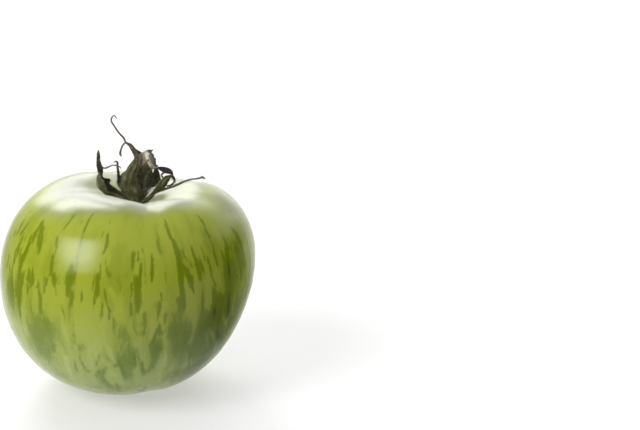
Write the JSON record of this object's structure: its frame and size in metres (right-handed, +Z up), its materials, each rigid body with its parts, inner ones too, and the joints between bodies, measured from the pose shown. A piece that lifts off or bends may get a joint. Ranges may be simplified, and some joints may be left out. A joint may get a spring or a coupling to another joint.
{
  "type": "green tiger tomato",
  "caption": "Round, slightly lopsided green striped tomato resting on its blossom end, with a dried calyx of curled sepals round a short cut stub of stalk.",
  "frame": {"origin": "in the small flat spot on the blossom end that the fruit rests on, 5 mm to the left of the stalk's axis", "axes": "+Z up along the stalk's axis, -Y towards the side that shows in the picture, +X to its right"},
  "size_m": [0.0653, 0.0653, 0.0716],
  "materials": {
    "striped_skin": "smooth waxy tomato skin, light yellow-green with ragged darker green streaks, semi-gloss",
    "dried_calyx": "withered olive to grey-brown plant tissue, matt and finely hairy, with a pale cut end"
  },
  "bodies": {
    "root": {"fruit": "striped_skin", "calyx": "dried_calyx"}
  },
  "joints": []
}
